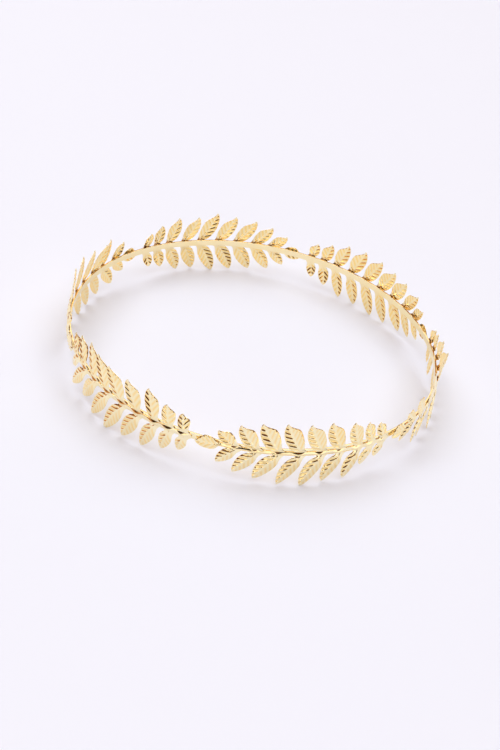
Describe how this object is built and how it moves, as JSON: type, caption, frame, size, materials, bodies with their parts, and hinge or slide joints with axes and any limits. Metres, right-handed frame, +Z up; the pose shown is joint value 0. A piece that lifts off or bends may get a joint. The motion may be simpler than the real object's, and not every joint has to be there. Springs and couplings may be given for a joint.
{
  "type": "leaf crown",
  "caption": "Rigid gold-coloured crown: a plain closed band with stamped sprays of paired, veined leaves set end to end round its outside.",
  "frame": {"origin": "on the surface that the crown rests on, under the centre of the band", "axes": "+Z up along the axis of the band, -Y towards the middle of spray_1, the front of the crown"},
  "size_m": [0.1804, 0.1806, 0.0325],
  "materials": {
    "gold": "polished gold plate"
  },
  "bodies": {
    "root": {"band": "gold", "spray_1": "gold", "spray_2": "gold", "spray_3": "gold", "spray_4": "gold", "spray_5": "gold", "spray_6": "gold"}
  },
  "joints": []
}
